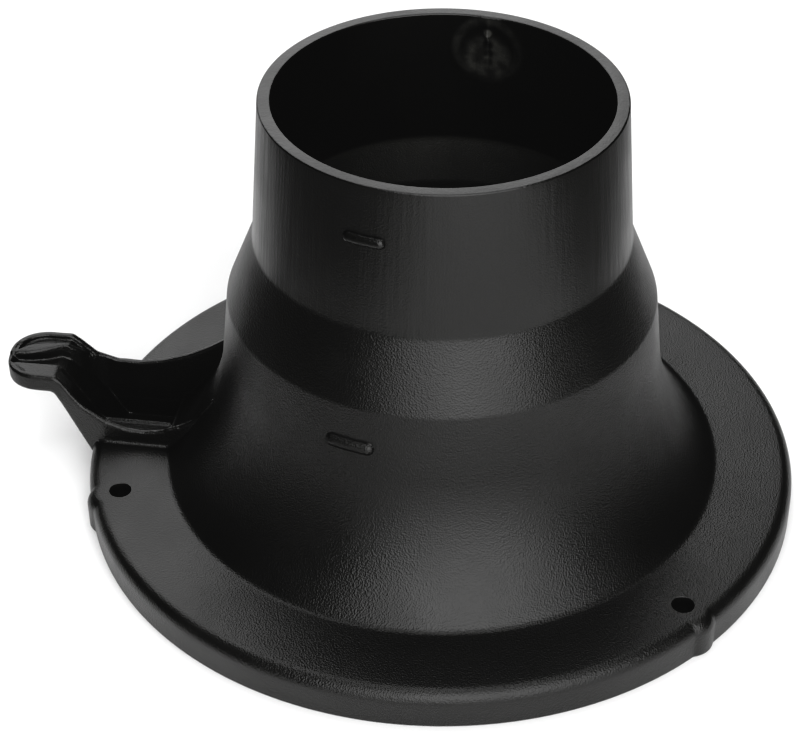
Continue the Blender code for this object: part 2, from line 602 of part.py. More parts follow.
def make_hub_nut():
    ring("hub_washer", SPINDLE_R + GAP, 8.3, 31.3, 32.5, "steel", 32)
    flats = 7.0
    corner = flats / math.cos(math.radians(30))
    hexagon = [polar(corner, 60 * i) for i in range(6)]
    nut = prism("hub_nut", hexagon, 32.8, 39.0, "steel")
    dome = solid_turned("nut_dome_guide", [(0, 37.0), (6.2, 37.0), (6.2, 39.6), (5.0, 41.2), (2.6, 42.2),
                                           (0, 42.4)], "steel", 24)
    add(nut, dome)
    cut(nut, solid_turned("nut_bore_guide", [(0, 30), (SPINDLE_R + GAP, 30), (SPINDLE_R + GAP, 39.2),
                                             (0, 39.8)], "steel", 32))


def main():
    clear_scene()
    make_hopper()
    make_end_plate()
    make_plate_screws()
    make_chamber_seals()
    make_shredder_ring()
    make_spindle_bearing()
    make_spindle()
    make_drive_coupling()
    make_slinger()
    make_undercutter()
    make_turntable()
    make_lug(1, 0)
    make_lug(2, 180)
    make_hub_nut()


main()
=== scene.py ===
"""Looks for the waste disposer's hopper module: fine meshes, materials, camera and light.

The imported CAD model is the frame.  hopper_shell is replaced by finer pieces on the same body; every
other CAD node keeps its mesh and gets a material.  Lengths below are in millimetres.
"""
import json
import math

import bmesh
import bpy
import numpy as np
from mathutils import Matrix, Vector


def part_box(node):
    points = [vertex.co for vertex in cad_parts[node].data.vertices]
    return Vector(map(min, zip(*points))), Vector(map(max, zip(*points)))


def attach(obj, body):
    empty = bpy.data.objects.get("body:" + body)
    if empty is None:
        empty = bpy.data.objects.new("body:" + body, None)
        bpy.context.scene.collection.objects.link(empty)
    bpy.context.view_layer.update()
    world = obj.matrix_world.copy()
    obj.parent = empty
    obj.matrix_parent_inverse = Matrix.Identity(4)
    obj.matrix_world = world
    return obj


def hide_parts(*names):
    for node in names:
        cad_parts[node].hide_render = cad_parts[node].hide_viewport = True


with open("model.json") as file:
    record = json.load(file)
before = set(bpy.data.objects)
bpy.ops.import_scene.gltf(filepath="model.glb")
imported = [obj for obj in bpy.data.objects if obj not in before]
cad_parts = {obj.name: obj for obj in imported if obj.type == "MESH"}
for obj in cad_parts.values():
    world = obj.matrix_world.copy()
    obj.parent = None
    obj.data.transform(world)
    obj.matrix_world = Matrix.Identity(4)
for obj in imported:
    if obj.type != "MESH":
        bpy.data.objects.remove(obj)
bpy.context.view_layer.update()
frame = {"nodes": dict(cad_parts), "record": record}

MM = 0.001

# ---- driving dimensions, from the frame where it has them ---------------------------------------
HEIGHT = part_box("hopper_shell")[1][2] / MM
NECK_R = 44.45
WALL = 3.3
CONE_TOP = (47.25, 79.1)
CONE_FOOT = (54.45, 61.5)
FLARE_TOP = (56.3, 44.0)
BELL_FOOT = (72.8, 10.2)
FLANGE_R = 93.67
FLANGE_Z = BELL_FOOT[1]
SHOULDER = 3.4                  # rounding between flange and skirt
RIM_ROUND = 0.45
CONE_ROUND = (5.0, 4.0)         # at the cone's top and foot
FOOT_ROUND = 2.5                # where the bell meets the flange
HOLE_CIRCLE_R = 86.0
HOLE_R = 2.75
HOLE_AZIMUTHS = (-166.2, -46.2, 73.8)
EAR_AZIMUTHS = (-106.2, 13.8, 133.8)
EAR_CIRCLE_R = 78.0
BOSS_R = 4.8
BOSS_FOOT = 0.4
POST_R = 4.5                    # posts for the end plate's screws
POST_BORE_R = 2.05
POST_FOOT = 5.3
HOLE_CHAMFER = 0.12
LOBE_R = 6.0
LOBE_CIRCLE_R = 88.75
DASH_AZIMUTH = -113.1
ARM_AZIMUTH = 172.5
SMOOTH_ANGLE = 35.0             # sharper edges than this stay crisp


# ---- mesh helpers --------------------------------------------------------------------------------
def make_object(name, verts, faces, smooth_angle=SMOOTH_ANGLE):
    """An object in metres from points in millimetres."""
    mesh = bpy.data.meshes.new(name)
    mesh.from_pydata((np.asarray(verts, float) * MM).tolist(), [], [tuple(f) for f in faces])
    mesh.validate()
    mesh.shade_smooth()
    mesh.set_sharp_from_angle(angle=math.radians(smooth_angle))
    obj = bpy.data.objects.new(name, mesh)
    bpy.context.scene.collection.objects.link(obj)
    return obj


def grid_faces(rows, columns, wrap_rows, wrap_columns):
    """Quads of a grid whose point number is row * columns + column."""
    i, j = np.meshgrid(np.arange(rows if wrap_rows else rows - 1),
                       np.arange(columns if wrap_columns else columns - 1), indexing="ij")
    i, j = i.ravel(), j.ravel()
    i2, j2 = (i + 1) % rows, (j + 1) % columns
    return np.stack([i * columns + j, i2 * columns + j, i2 * columns + j2, i * columns + j2], 1)


ARC_STEP = 7.0                  # degrees between the points of an arc


def rounded(corners, closed=False):
    """A polyline whose (x, y, radius) corners are replaced by arcs."""
    count = len(corners)
    out = []
    for n, (x, y, radius) in enumerate(corners):
        if radius <= 0 or (not closed and n in (0, count - 1)):
            out.append((x, y))
            continue
        here = np.array((x, y))
        back = np.array(corners[n - 1][:2]) - here
        ahead = np.array(corners[(n + 1) % count][:2]) - here
        back /= np.linalg.norm(back)
        ahead /= np.linalg.norm(ahead)
        half = math.acos(max(-1.0, min(1.0, float(back @ ahead)))) / 2
        run = radius / math.tan(half)
        centre = here + (back + ahead) / np.linalg.norm(back + ahead) * radius / math.sin(half)
        start, end = here + back * run - centre, here + ahead * run - centre
        a0, a1 = math.atan2(start[1], start[0]), math.atan2(end[1], end[0])
        turn = (a1 - a0 + math.pi) % math.tau - math.pi
        steps = max(2, int(abs(math.degrees(turn)) / ARC_STEP) + 1)
        for k in range(steps + 1):
            a = a0 + turn * k / steps
            out.append((centre[0] + radius * math.cos(a), centre[1] + radius * math.sin(a)))
    return out


TURNED_SIDES = 48


def turned(name, outline):
    """Spin a closed (radius, height) outline about +Z."""
    outline = np.array(outline, float)
    turns = np.arange(TURNED_SIDES) * math.tau / TURNED_SIDES
    verts = np.stack([np.outer(np.cos(turns), outline[:, 0]), np.outer(np.sin(turns), outline[:, 0]),
                      np.outer(np.ones(TURNED_SIDES), outline[:, 1])], 2).reshape(-1, 3)
    return make_object(name, verts, grid_faces(TURNED_SIDES, len(outline), True, True))


def outward(obj):
    """Face normals point out of the closed mesh."""
    bm = bmesh.new()
    bm.from_mesh(obj.data)
    bmesh.ops.recalc_face_normals(bm, faces=bm.faces)
    bm.to_mesh(obj.data)
    bm.free()
    return obj


def place(obj, radius, azimuth):
    """Moves the mesh out to a radius at an azimuth."""
    angle = math.radians(azimuth)
    move = (radius * MM * math.cos(angle), radius * MM * math.sin(angle), 0)
    obj.data.transform(Matrix.Translation(move))
    return obj


def cut(target, cutter):
    """Boolean difference, applied, and the cutter removed."""
    mod = target.modifiers.new("cut", "BOOLEAN")
    mod.operation = "DIFFERENCE"
    mod.solver = "EXACT"
    mod.object = cutter
    bpy.context.view_layer.update()
    graph = bpy.context.evaluated_depsgraph_get()
    mesh = bpy.data.meshes.new_from_object(target.evaluated_get(graph))
    target.modifiers.clear()
    target.data = mesh
    bpy.data.objects.remove(cutter)


# ---- hopper profile ------------------------------------------------------------------------------
def bell_radius(z):
    """Outside radius of the bell at heights z: a straight taper, then an arc tangent to it."""
    z = np.asarray(z, float)
    taper = math.atan((FLARE_TOP[0] - CONE_FOOT[0]) / (CONE_FOOT[1] - FLARE_TOP[1]))
    run, drop = BELL_FOOT[0] - FLARE_TOP[0], FLARE_TOP[1] - BELL_FOOT[1]
    final = 2 * math.atan(run / drop) - taper
    radius = drop / (math.sin(final) - math.sin(taper))
    angle = np.arcsin(np.clip(math.sin(taper) + (FLARE_TOP[1] - z) / radius, -1, 1))
    curved = FLARE_TOP[0] + radius * (math.cos(taper) - np.cos(angle))
    return np.where(z >= FLARE_TOP[1], FLARE_TOP[0] - (z - FLARE_TOP[1]) * math.tan(taper), curved)


def subdivide(points, longest):
    """Extra points so that no step is over the given length."""
    out = [points[0]]
    for a, b in zip(points, points[1:]):
        n = max(1, int(math.hypot(b[0] - a[0], b[1] - a[1]) / longest + 0.999))
        out += [(a[0] + (b[0] - a[0]) * k / n, a[1] + (b[1] - a[1]) * k / n) for k in range(1, n + 1)]
    return out


BELL_STEPS = 30
PROFILE_STEP = 2.6              # longest straight piece of the profile


def outer_profile():
    """From the rim's middle down the outside to the skirt's foot."""
    heights = FLARE_TOP[1] + (FLANGE_Z - FLARE_TOP[1]) * np.linspace(0, 1, BELL_STEPS + 1)
    radii = bell_radius(heights)
    corners = [(NECK_R - WALL / 2, HEIGHT, 0), (NECK_R, HEIGHT, RIM_ROUND),
               (*CONE_TOP, CONE_ROUND[0]), (*CONE_FOOT, CONE_ROUND[1])]
    corners += [(float(r), float(z), 0) for r, z in zip(radii[:-1], heights[:-1])]
    corners += [(*BELL_FOOT, FOOT_ROUND), (FLANGE_R, FLANGE_Z, SHOULDER), (FLANGE_R, 0.0, 0.5),
                (FLANGE_R - WALL / 2, 0.0, 0)]
    return subdivide(rounded(corners), PROFILE_STEP)


def inner_profile():
    """From the skirt's foot up the inside to the rim's middle."""
    under = FLANGE_Z - WALL
    heights = FLARE_TOP[1] + (FLANGE_Z + 0.6 - FLARE_TOP[1]) * np.linspace(0, 1, BELL_STEPS + 1)
    slope = (bell_radius(heights - 0.1) - bell_radius(heights + 0.1)) / 0.2
    norm = np.hypot(1.0, slope)
    radii = (bell_radius(heights) - WALL / norm)[::-1]
    heights = (heights - WALL * slope / norm)[::-1]
    corners = [(FLANGE_R - WALL / 2, 0.0, 0), (FLANGE_R - WALL, 0.0, 0.5), (FLANGE_R - WALL, under, 1.0),
               (BELL_FOOT[0] - 1.0, under, 0.6)]
    corners += [(float(r), float(z), 0) for r, z in zip(radii[1:], heights[1:])]
    corners += [(CONE_FOOT[0] - WALL, CONE_FOOT[1] - 0.8, CONE_ROUND[1]),
                (CONE_TOP[0] - WALL, CONE_TOP[1] - 0.8, CONE_ROUND[0]),
                (NECK_R - WALL, HEIGHT, RIM_ROUND), (NECK_R - WALL / 2, HEIGHT, 0)]
    return subdivide(rounded(corners), PROFILE_STEP)


def soft_max(a, b, k):
    """Maximum whose corner is rounded over about k."""
    h = np.clip(0.5 + 0.5 * (a - b) / k, 0, 1)
    return b + (a - b) * h + k * h * (1 - h)


def soft_min(a, b, k):
    """Minimum whose corner is rounded over about k."""
    return -soft_max(-a, -b, k)


LOBE_SPAN = 0.06                # radians either side of the lobe's middle
LOBE_BLEND = 0.35


def lobe_growth(azimuths):
    """How far the flange's edge stands out at each azimuth, for the half-round lobes by the holes."""
    grown = np.zeros_like(azimuths)
    for middle in HOLE_AZIMUTHS:
        off = np.radians((azimuths - middle + 180) % 360 - 180)
        across = np.minimum(LOBE_CIRCLE_R * np.abs(np.sin(off)), LOBE_R)
        reach = LOBE_CIRCLE_R * np.cos(off) + np.sqrt(LOBE_R ** 2 - across ** 2)
        bump = np.where(np.abs(off) < LOBE_SPAN, reach - FLANGE_R, -LOBE_R)
        grown = np.maximum(grown, soft_max(bump, np.zeros_like(bump), LOBE_BLEND))
    return grown


GATE_AZIMUTH = 74.5
GATE_Z = HEIGHT - 9.4
GATE_NUB = 4.6                  # the nub stands this far above the mark's middle


def gate_place(up):
    """A point on the neck's inside, up above the middle of the gate mark, in metres."""
    turn = math.radians(GATE_AZIMUTH)
    r = NECK_R - WALL
    return (r * math.cos(turn) * MM, r * math.sin(turn) * MM, (GATE_Z + up) * MM)


def gate_mark(azimuth, z):
    """Depth of the faint round witness mark that the mould leaves inside the neck."""
    across = (azimuth - GATE_AZIMUTH) * math.radians(1) * (NECK_R - WALL)
    up = z - GATE_Z
    distance = np.hypot(across, up)
    ring = 0.42 * np.exp(-((distance - 8.2) / 1.2) ** 2)
    dish = -0.22 / (1 + np.exp((distance - 7.2) / 0.9))
    slit = -0.55 * np.exp(-(across / 0.6) ** 2) / (1 + np.exp((np.abs(up + 1.6) - 2.6) / 0.4))
    nub = 1.3 * np.exp(-(across / 0.8) ** 2 - ((up - GATE_NUB) / 1.6) ** 2)
    return ring + dish + slit + nub


def make_body():
    """Neck, cone, bell, flange and skirt as one turned wall, finer at the lobes and the gate mark."""
    azimuths = np.arange(0, 360, 0.9375)
    for middle in HOLE_AZIMUTHS:
        azimuths = np.append(azimuths, (middle + np.arange(-4.2, 4.21, 0.14)) % 360)
    azimuths = np.append(azimuths, np.arange(60, 89, 0.3125))
    azimuths = np.unique(np.round(azimuths, 3))
    azimuths = azimuths[np.append(np.diff(azimuths) > 0.05, True)]
    outline = outer_profile()
    outer_count = len(outline)
    outline = np.array(outline + inner_profile()[1:-1])
    radius = np.tile(outline[:, 0], (len(azimuths), 1))
    height = np.tile(outline[:, 1], (len(azimuths), 1))
    edge = np.arange(len(outline)) < outer_count
    edge &= outline[:, 0] > FLANGE_R - SHOULDER - 0.01
    share = np.clip((outline[:, 0] - (FLANGE_R - WALL / 2)) / (WALL / 2), 0, 1)
    share = np.where(outline[:, 1] > 0.6, 1.0, share)
    radius += lobe_growth(azimuths)[:, None] * np.where(edge, share, 0.0)
    inside = (np.arange(len(outline)) >= outer_count) & (outline[:, 1] > CONE_TOP[1])
    mark = gate_mark(azimuths[:, None], height)
    radius -= np.where(inside[None, :], mark, 0.0)
    turns = np.radians(azimuths)[:, None]
    verts = np.stack([radius * np.cos(turns), radius * np.sin(turns), height], 2).reshape(-1, 3)
    body = make_object("hopper_body", verts, grid_faces(len(azimuths), len(outline), True, True))
    return outward(body)


# ---- trough and tongue, as a field that is negative inside the plastic ----------------------------
# s runs outwards along the arm, o towards its back, z up; all in millimetres
TONGUE_TOP = 28.0
TONGUE_UNDER = 23.0
TONGUE_RISE = 0.7               # the tongue's back half stands this much higher
TONGUE_TIP = 117.3
TIP_CENTRE = (107.4, 0.4)
TIP_SQUARENESS = 2.2            # 2 would be a plain ellipse
ARM_HALF = 12.2
ARM_FOOT = 0.3
POCKET_FLOOR = 2.5
SHELF_Z = 8.2
SHELF_EDGE = 0.1                # the shelf ends this far behind the trough's middle
SHELF_FALL = 0.13               # the shelf slopes down towards the channel
SHELF_THICK = 2.5
SHELF_CORE = (81.1, 7.3, -6.0, 3.4)     # hollow under the shelf: middle and half size, s then o
BACK_WALL = 10.2                # inner face of the trough's back wall
POCKET_FRONT = 11.05            # the cut in the flange ends inside the trough's front wall
BEAD_R = 0.6                    # bead on the shelf's edge, ridge up the bell
SHELF_BEAD = ((74.5, -0.35, 8.35), (92.1, -0.35, 8.35), (93.9, -0.7, 10.0), (95.9, -1.6, 15.2),
              (97.8, -2.3, 19.1), (99.5, -2.9, 22.4), (102.0, -3.8, 26.6))
RIM_RIDGE = ((72.0, -11.7, 15.6), (69.2, -11.5, 16.6), (65.2, -10.2, 18.0), (62.7, -11.0, 21.6),
             (60.0, -13.3, 25.5), (57.8, -15.0, 29.5))
RECESS_DEPTH = 1.3              # half-moon hollow behind the tongue's lip
RECESS_EDGE = 1.9               # bead left round it
GROOVE = (1.35, 0.34)           # fine line round the tip: distance inside the edge, radius
OVERHANG = ((93.3, 4.5), (103.2, TONGUE_UNDER))
LAYER_REACH = 4.0               # how far the fillets into the bell may run past the arm's sides
EDGE_ROUND = 0.9
WALL_ROUND = 0.8
LIP_ROUND = 0.5


CURVE_STEP = 0.05


def soft_curve(points, blur):
    """A function of x through the points, its corners smoothed over about blur."""
    xs, ys = zip(*points)
    fine = np.arange(xs[0] - 6, xs[-1] + 6, CURVE_STEP)
    raw = np.interp(fine, xs, ys)
    width = int(blur / CURVE_STEP) | 1
    kernel = np.hanning(width + 2)
    kernel /= kernel.sum()
    padded = np.pad(raw, width, mode="edge")
    smooth = np.convolve(padded, kernel, mode="same")[width:-width]
    return lambda x: np.interp(x, fine, smooth)


rim_front = soft_curve([(58, 27.2), (60.4, 24.4), (64.7, 19.9), (69.2, 16.8), (74.5, 15.0), (78.6, 14.4),
                        (82.9, 14.8), (89.1, 17.0), (94.6, 19.8), (97.5, 22.6), (100.4, 26.4),
                        (102.4, TONGUE_TOP), (107, TONGUE_TOP)], 2.0)
rim_back = soft_curve([(58, 32.4), (60.9, 30.0), (65.2, 27.1), (70.9, 24.1), (78.1, 21.5), (84.7, 20.2),
                       (90.9, 20.4), (96.4, 22.6), (100.0, 26.6), (102.4, TONGUE_TOP + TONGUE_RISE),
                       (107, TONGUE_TOP + TONGUE_RISE)], 2.4)
shelf = soft_curve([(70, SHELF_Z), (92.6, SHELF_Z), (93.9, 9.8), (95.9, 15.1), (97.8, 19.0),
                    (99.5, 22.3), (102.0, 26.6), (103.6, TONGUE_TOP - 0.25),
                    (118, TONGUE_TOP - 0.25)], 1.2)
channel_floor = soft_curve([(70, POCKET_FLOOR), (89.2, POCKET_FLOOR), (91.4, 5.5), (96.0, 13.5),
                            (99.8, 21.0), (101.8, 24.0), (104.0, 25.0), (113.0, 25.6), (115.0, 25.9),
                            (116.3, 27.6)], 1.6)
channel_front = soft_curve([(70, SHELF_EDGE), (92.6, SHELF_EDGE), (93.9, -0.25), (95.9, -1.2),
                            (97.8, -1.9), (99.5, -2.5), (102.5, -3.4), (114.5, -3.6)], 1.4)
channel_back = soft_curve([(70, BACK_WALL), (94, BACK_WALL), (96.0, 9.4), (97.7, 8.0), (99.5, 5.6),
                           (101.6, 4.2), (104.0, 4.0), (106.0, 2.7), (108.0, 1.7), (111.7, 0.4),
                           (115.7, -0.3)], 1.8)
front_side = soft_curve([(58, ARM_HALF), (89.1, ARM_HALF), (95.5, 10.8), (101.0, 9.6), (104, 9.45),
                         (118, 9.4)], 1.2)
back_side = soft_curve([(58, ARM_HALF), (89.1, ARM_HALF), (95.5, 11.5), (101.0, 10.6), (104, 10.3),
                        (118, 10.2)], 1.2)
front_wall = soft_curve([(58, 10.9), (89, 10.9), (95.5, 9.6), (101.0, 8.3), (104, 8.0),
                         (118, 7.8)], 1.2)
recess_front = soft_curve([(96, 9.6), (98.2, 8.0), (101.4, 6.0), (104.8, 5.3), (108.9, 4.8),
                           (112.7, 3.4), (115.2, 1.2), (117, -1.0)], 1.6)


def slope_scale(curve, s):
    """Turns a difference in height under a sloping curve into a distance."""
    return 1 / np.sqrt(1 + ((curve(s + 0.3) - curve(s - 0.3)) / 0.6) ** 2)


def shell_field(r, z):
    """Distance outside the hopper's outer surface, near the trough."""
    slope = (bell_radius(z - 0.1) - bell_radius(z + 0.1)) / 0.2
    bell = (r - bell_radius(z)) / np.hypot(1.0, np.where(z > FLANGE_Z - 2, slope, 1.0))
    flange = np.maximum(z - FLANGE_Z, r - FLANGE_R)
    corner = np.hypot(np.maximum(r - FLANGE_R + SHOULDER, 0), np.maximum(z - FLANGE_Z + SHOULDER, 0))
    both = (r > FLANGE_R - SHOULDER) & (z > FLANGE_Z - SHOULDER)
    flange = np.where(both, corner - SHOULDER, flange)
    return soft_min(bell, flange, 0.6)


def capsule(s, o, z, start, end, radius):
    """Distance from a rod with round ends."""
    a, b = np.array(start, float), np.array(end, float)
    along = b - a
    p = np.stack([s - a[0], o - a[1], z - a[2]])
    t = np.clip(np.tensordot(along, p, 1) / (along @ along), 0, 1)
    return np.sqrt(((p - along.reshape((3,) + (1,) * s.ndim) * t) ** 2).sum(0)) - radius


def trough_field(s, o, z):
    """Below zero inside the plastic of trough and tongue."""
    r = np.hypot(s, o)
    tip_s, tip_o = TIP_CENTRE
    wide = np.where(o > tip_o, back_side(s) - tip_o, front_side(s) + tip_o)
    along = np.maximum(s - tip_s, 0) / (TONGUE_TIP - tip_s) * wide
    power = TIP_SQUARENESS
    side = (along ** power + np.abs(o - tip_o) ** power) ** (1 / power) - wide
    back = np.clip((o + 4) / 8, 0, 1)
    back = back * back * (3 - 2 * back)
    top = rim_front(s) * (1 - back) + rim_back(s) * back
    tilt = slope_scale(rim_front, s) * (1 - back) + slope_scale(rim_back, s) * back
    over = (z - top) * tilt
    (s0, z0), (s1, z1) = OVERHANG
    lean = ((s - s0) * (z1 - z0) - (z - z0) * (s1 - s0)) / math.hypot(s1 - s0, z1 - z0)
    under = soft_max(soft_min(lean, TONGUE_UNDER - z, 1.2), ARM_FOOT - z, 0.3)
    envelope = soft_max(soft_max(side, over, EDGE_ROUND), under, EDGE_ROUND)
    core = (bell_radius(np.maximum(z, FLANGE_Z)) - WALL / 2) - r
    envelope = np.maximum(envelope, core)

    # thin layer just inside the shell's wall, so that the fillets run out into the real surface
    outside = shell_field(r, z)
    layer = np.maximum(outside + 0.05, -(outside + WALL - 0.2))
    layer = np.maximum(layer, np.abs(o) - (ARM_HALF + LAYER_REACH))
    layer = np.maximum(layer, np.maximum(s - 91.0, 7.4 - z))
    solid = soft_min(envelope, layer, 1.1)

    clear_of_bell = (bell_radius(np.maximum(z, FLANGE_Z)) + 0.02 - r) * 0.75
    middle = (channel_back(s) - front_wall(s)) / 2
    reach = (channel_back(s) + front_wall(s)) / 2
    sunk = SHELF_FALL * np.clip(o - SHELF_EDGE, -10, 0)
    above_shelf = (shelf(s) - sunk - z) * slope_scale(shelf, s)
    upper = soft_max(np.abs(o - middle) - reach, above_shelf, WALL_ROUND)
    upper = soft_max(upper, clear_of_bell, WALL_ROUND)
    channel = soft_max(channel_front(s) - o, o - channel_back(s), 0.6)
    channel = soft_max(channel, (channel_floor(s) - z) * slope_scale(channel_floor, s), LIP_ROUND)
    channel = soft_max(channel, clear_of_bell, WALL_ROUND)
    solid = soft_max(solid, -upper, LIP_ROUND)
    solid = soft_max(solid, -channel, LIP_ROUND)

    # hollow under the shelf, open at the bottom
    core_s, core_half, core_o, core_reach = SHELF_CORE
    under_shelf = soft_max(np.abs(s - core_s) - core_half, np.abs(o - core_o) - core_reach, WALL_ROUND)
    under_shelf = soft_max(under_shelf, z - (SHELF_Z - SHELF_THICK), WALL_ROUND)
    solid = soft_max(solid, -under_shelf, 0.4)
    # half-moon hollow behind the lip, inside a thin bead round the tongue
    hollow = soft_max(side + RECESS_EDGE, recess_front(s) - o, LIP_ROUND)
    hollow = soft_max(hollow, -RECESS_DEPTH - over, LIP_ROUND)
    hollow = np.maximum(hollow, (97.0 - s) * 0.8)
    solid = soft_max(solid, -hollow, 0.4)
    # fine line just inside the edge round the tip
    groove = np.hypot(side + GROOVE[0], over) - GROOVE[1]
    groove = np.maximum(groove, np.maximum(111.0 - s, o - 4.0))
    solid = soft_max(solid, -groove, 0.2)
    # rounded bead along the shelf's edge, and the front rim carried on up the bell as a low ridge
    for chain in (SHELF_BEAD, RIM_RIDGE):
        for start, end in zip(chain, chain[1:]):
            solid = soft_min(solid, capsule(s, o, z, start, end, BEAD_R), 0.25)
    return solid


NUDGE = 0.01                    # millimetres, for the field's slope


def surface_net(field, low, high, step):
    """Closed quad mesh of the surface where the field changes sign, moved onto it exactly."""
    axes = [np.arange(a, b + step, step) for a, b in zip(low, high)]
    grid = np.meshgrid(*axes, indexing="ij")
    value = field(*grid)
    for axis in range(3):           # the border counts as outside, which closes the mesh
        for end in (0, -1):
            index = [slice(None)] * 3
            index[axis] = end
            value[tuple(index)] = np.maximum(value[tuple(index)], step * 0.3)
    inside = value < 0
    shape = np.array(value.shape)
    total = np.zeros(tuple(shape - 1) + (3,))
    hits = np.zeros(tuple(shape - 1))
    crossings = []
    for axis in range(3):
        a = [slice(None)] * 3
        b = [slice(None)] * 3
        a[axis], b[axis] = slice(0, -1), slice(1, None)
        va, vb = value[tuple(a)], value[tuple(b)]
        crossing = (va < 0) != (vb < 0)
        crossings.append(crossing)
        share = np.where(crossing, va / np.where(crossing, va - vb, 1), 0)
        others = [k for k in range(3) if k != axis]
        for da in (0, 1):
            for db in (0, 1):
                index = [slice(None)] * 3
                index[others[0]] = slice(da, shape[others[0]] - 1 + da)
                index[others[1]] = slice(db, shape[others[1]] - 1 + db)
                found = crossing[tuple(index)]
                total[..., axis] += np.where(found, share[tuple(index)], 0)
                total[..., others[0]] += np.where(found, da, 0)
                total[..., others[1]] += np.where(found, db, 0)
                hits += found
    cells = np.argwhere(hits > 0)
    number = -np.ones(tuple(shape - 1), int)
    number[tuple(cells.T)] = np.arange(len(cells))
    points = (cells + total[tuple(cells.T)] / hits[tuple(cells.T)][:, None]) * step + np.array(low)
    faces = []
    for axis in range(3):
        others = [(axis + 1) % 3, (axis + 2) % 3]
        where = np.argwhere(crossings[axis])
        for other in others:
            where = where[(where[:, other] > 0) & (where[:, other] < shape[other] - 1)]
        corners = []
        for da, db in ((0, 0), (1, 0), (1, 1), (0, 1)):
            cell = where.copy()
            cell[:, others[0]] -= da
            cell[:, others[1]] -= db
            corners.append(number[tuple(cell.T)])
        quad = np.stack(corners, 1)
        flip = ~inside[tuple(where.T)]
        quad[flip] = quad[flip][:, ::-1]
        faces.append(quad)
    faces = np.concatenate(faces)
    for _ in range(3):              # slide each point along the field's slope onto the surface
        here = field(*points.T)
        slope = np.stack([(field(*(points + nudge).T) - field(*(points - nudge).T)) / (2 * NUDGE)
                          for nudge in NUDGE * np.eye(3)], 1)
        size = np.maximum((slope ** 2).sum(1), 0.2)
        step_back = (here / size)[:, None] * slope
        length = np.linalg.norm(step_back, axis=1)[:, None]
        points = points - step_back * np.minimum(1, 0.25 * step / np.maximum(length, 1e-9))
    return points, faces


FIELD_BOX = ((55.0, -17.5, -0.9), (119.2, 17.5, 35.0))
FIELD_STEP = 0.42


def on_arm(s, o):
    """x and y of a place s out along the arm and o behind its middle."""
    angle = math.radians(ARM_AZIMUTH)
    return s * math.cos(angle) + o * math.sin(angle), s * math.sin(angle) - o * math.cos(angle)


def make_trough():
    """The trough with its tongue, meshed from the field and swung to the arm's azimuth."""
    step = FIELD_STEP
    points, faces = surface_net(trough_field, *FIELD_BOX, step)
    s, o, z = points.T
    trough = make_object("side_trough", np.stack([*on_arm(s, o), z], 1), faces, 60.0)
    return outward(trough)


def pocket_cutter():
    """Opens the flange under the trough; its faces stay buried in the trough's walls."""
    side_view = [(73.2, 1.2), (90.2, 1.2), (92.6, 5.5), (97.0, 13.0), (73.2, 13.0)]
    verts = []
    for o in (-POCKET_FRONT, (ARM_HALF + BACK_WALL) / 2):
        verts += [(*on_arm(s, o), z) for s, z in side_view]
    n = len(side_view)
    faces = [tuple(range(n)), tuple(range(n, 2 * n))]
    faces += [(i, (i + 1) % n, (i + 1) % n + n, i + n) for i in range(n)]
    return outward(make_object("pocket_cutter", verts, faces))


# ---- small features of the shell -----------------------------------------------------------------
DASH_SUNK = 0.2                 # the dash's edge starts this far inside the wall
DASH_ROOT = 1.0                 # and its flat back lies this deep


def make_dash(name, height, length, width, proud):
    """A raised dash with round ends that follows the shell's curve."""
    across = np.linspace(-1, 1, 49)
    up = np.linspace(-1, 1, 25)
    a, b = np.meshgrid(across, up, indexing="ij")
    along = a * (length / 2)
    rise = b * (width / 2)
    end = np.maximum(np.abs(along) - (length / 2 - width / 2), 0)
    distance = np.hypot(end, rise) / (width / 2)
    swell = np.sqrt(np.clip(1 - np.clip(distance, 0, 1) ** 2.2, 0, 1))
    lift = (proud + DASH_SUNK) * swell - DASH_SUNK
    z = height + rise
    neck = NECK_R + (HEIGHT - z) / (HEIGHT - CONE_TOP[1]) * (CONE_TOP[0] - NECK_R)
    base = np.where(z > CONE_TOP[1], neck, bell_radius(z))
    r = base + lift
    turn = np.radians(DASH_AZIMUTH) + along / base
    front = np.stack([r * np.cos(turn), r * np.sin(turn), z], 2).reshape(-1, 3)
    r = base - DASH_ROOT
    back = np.stack([r * np.cos(turn), r * np.sin(turn), z], 2).reshape(-1, 3)
    rows, columns = a.shape
    faces = grid_faces(rows, columns, False, False).tolist()
    count = rows * columns
    faces += [[i + count for i in reversed(f)] for f in faces]
    border = list(range(columns)) + [i * columns + columns - 1 for i in range(1, rows)]
    border += [(rows - 1) * columns + j for j in range(columns - 2, -1, -1)]
    border += [i * columns for i in range(rows - 2, 0, -1)]
    faces += [[i, j, j + count, i + count] for i, j in zip(border, border[1:] + border[:1])]
    return outward(make_object(name, np.concatenate([front, back]), faces, 50.0))


def make_bosses():
    """Tubes round the three screw holes, and posts for the end plate's screws, under the flange."""
    pieces = []
    for i, azimuth in enumerate(HOLE_AZIMUTHS):
        outline = rounded([(HOLE_R, BOSS_FOOT, 0.3), (BOSS_R, BOSS_FOOT, 0.4),
                           (BOSS_R, FLANGE_Z - 1.0, 0), (HOLE_R, FLANGE_Z - 1.0, 0)], True)
        boss = turned(f"screw_boss_{i + 1}", outline)
        pieces.append(outward(place(boss, HOLE_CIRCLE_R, azimuth)))
    for i, azimuth in enumerate(EAR_AZIMUTHS):
        outline = rounded([(POST_BORE_R, POST_FOOT, 0.2), (POST_R, POST_FOOT, 0.4),
                           (POST_R, FLANGE_Z - 1.2, 0), (POST_BORE_R, FLANGE_Z - 1.2, 0)], True)
        post = turned(f"plate_post_{i + 1}", outline)
        pieces.append(outward(place(post, EAR_CIRCLE_R, azimuth)))
    return pieces


